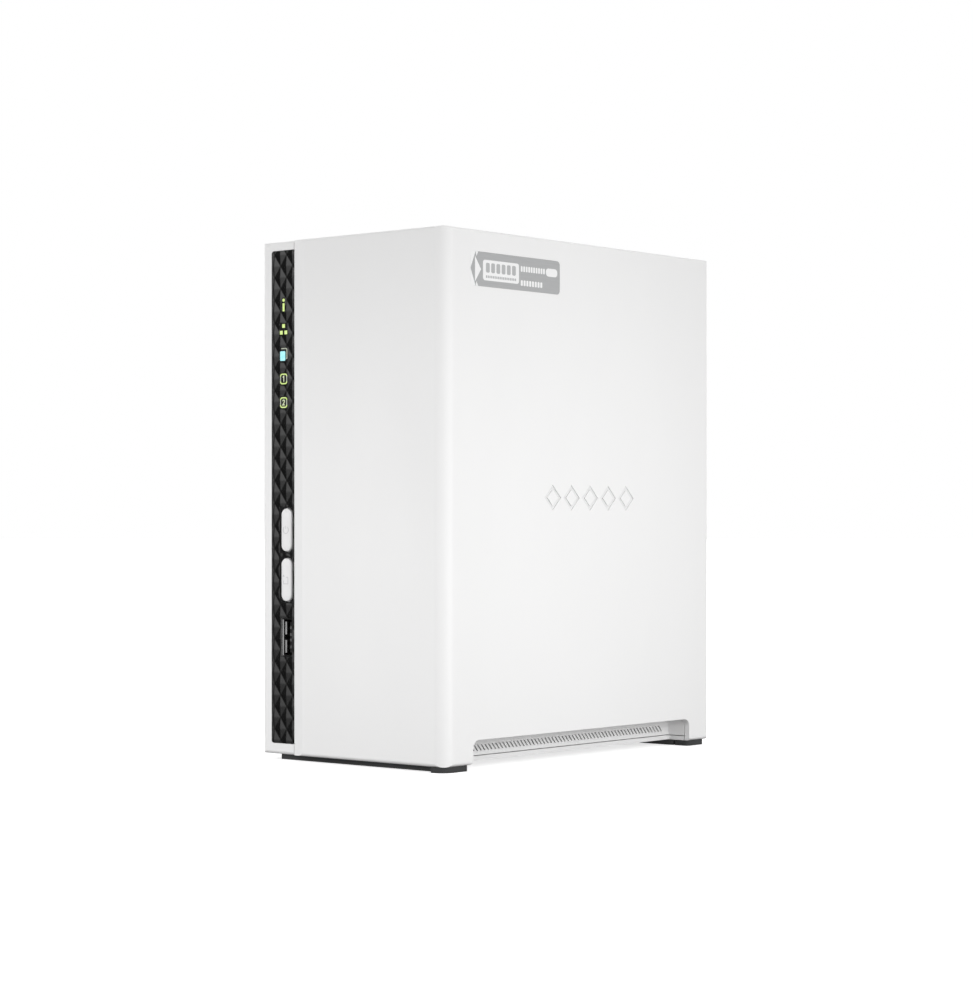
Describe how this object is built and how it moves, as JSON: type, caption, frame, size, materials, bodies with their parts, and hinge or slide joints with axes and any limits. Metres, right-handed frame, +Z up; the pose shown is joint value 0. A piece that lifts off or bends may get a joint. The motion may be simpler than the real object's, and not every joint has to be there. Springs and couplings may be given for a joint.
{
  "type": "network attached storage",
  "caption": "Upright network storage box: moulded body on a slotted plinth, black lamp and button column at the front left, front USB port, cover that slides off its hard drives.",
  "frame": {"origin": "on the floor, under the middle of the body's width and depth", "axes": "+Z up, the front faces -Y, and the cover's plain side faces +X"},
  "size_m": [0.0902, 0.1562, 0.1886],
  "materials": {
    "shell_white": "fine satin moulding grain",
    "strip_black": "satin, shallow diamond relief",
    "button_white": "satin",
    "status_green": "clear light pipe",
    "usb_cyan": "clear light pipe",
    "drive_lamp": "smoked light pipe with a lit outline",
    "board_green": "solder resist",
    "lamp_white": "clear resin",
    "chip_black": "moulded epoxy",
    "heatsink_black": "anodised, extruded",
    "port_steel": "tin-plated",
    "sheet_steel": "galvanised",
    "screw_steel": "nickel-plated",
    "contact_gold": "gold-plated",
    "insert_black": "moulded",
    "reset_yellow": "moulded",
    "rubber_black": "matt",
    "drive_cast": "die-cast",
    "drive_lid": "stamped, fine grain",
    "platter_silver": "polished",
    "handle_blue": "moulded",
    "fan_black": "moulded",
    "coil_copper": "enamelled copper wire",
    "label_grey": "printed foil"
  },
  "bodies": {
    "chassis": {"left_shell": "shell_white", "front_strip": "strip_black", "status_light": "status_green", "network_light": "status_green", "usb_light": "usb_cyan", "drive_1_light": "drive_lamp", "drive_2_light": "drive_lamp", "lamp_board": "board_green", "lamps": "lamp_white", "power_switch": "insert_black", "copy_switch": "insert_black", "front_usb_shell": "port_steel", "front_usb_tongue": "insert_black", "mainboard": "board_green", "heatsink": "heatsink_black", "memory_chips": "chip_black", "coin_cell": "screw_steel", "coin_cell_holder": "insert_black", "board_link": "insert_black", "rear_usb_shells": "port_steel", "rear_usb_tongues": "insert_black", "network_jack": "port_steel", "network_contacts": "contact_gold", "power_jack": "insert_black", "power_pin": "screw_steel", "reset_switch": "insert_black", "backplane": "board_green", "sata_sockets": "insert_black", "vent_frame": "shell_white", "base_plate": "shell_white", "front_foot": "rubber_black", "rear_foot": "rubber_black", "rear_panel": "shell_white", "lock_plate": "sheet_steel", "drive_cage": "sheet_steel", "cage_straps": "sheet_steel", "drive_1_body": "drive_cast", "drive_1_lid": "drive_lid", "drive_1_board": "board_green", "drive_2_body": "drive_cast", "drive_2_lid": "drive_lid", "drive_2_board": "board_green", "drive_platters": "platter_silver", "drive_handles": "handle_blue", "drive_screws": "screw_steel", "fan_frame": "fan_black", "fan_coils": "coil_copper", "fan_screws": "screw_steel", "fan_lead": "insert_black", "chassis_screws": "screw_steel"},
    "cover": {"slide_cover": "shell_white", "spec_label": "label_grey", "cover_feet": "rubber_black"},
    "power_key": {"power_button": "button_white"},
    "copy_key": {"copy_button": "button_white"},
    "reset_key": {"reset_button": "reset_yellow"},
    "rotor": {"fan_rotor": "fan_black"},
    "upper_screw": {"upper_thumbscrew": "screw_steel"},
    "lower_screw": {"lower_thumbscrew": "screw_steel"}
  },
  "joints": [
    {"name": "cover_slide", "type": "slide", "parent": "chassis", "child": "cover", "axis": [0, -1, 0], "range_m": [0, 0.165]},
    {"name": "power_button_press", "type": "slide", "parent": "chassis", "child": "power_key", "axis": [0, 1, 0], "range_m": [0, 0.001], "stiffness_N_per_m": 900, "springref_m": -0.0006},
    {"name": "copy_button_press", "type": "slide", "parent": "chassis", "child": "copy_key", "axis": [0, 1, 0], "range_m": [0, 0.001], "stiffness_N_per_m": 900, "springref_m": -0.0006},
    {"name": "reset_button_press", "type": "slide", "parent": "chassis", "child": "reset_key", "axis": [0, -1, 0], "range_m": [0, 0.0004], "stiffness_N_per_m": 900, "springref_m": -0.0005},
    {"name": "fan_spin", "type": "hinge", "parent": "chassis", "child": "rotor", "pos_m": [0.0094, 0.06385, 0.118], "axis": [0, 1, 0], "continuous": true},
    {"name": "upper_thumbscrew_turn", "type": "hinge", "parent": "chassis", "child": "upper_screw", "pos_m": [0.0382, 0.07185, 0.1794], "axis": [0, 1, 0], "continuous": true},
    {"name": "lower_thumbscrew_turn", "type": "hinge", "parent": "chassis", "child": "lower_screw", "pos_m": [0.0382, 0.07185, 0.0184], "axis": [0, 1, 0], "continuous": true}
  ]
}
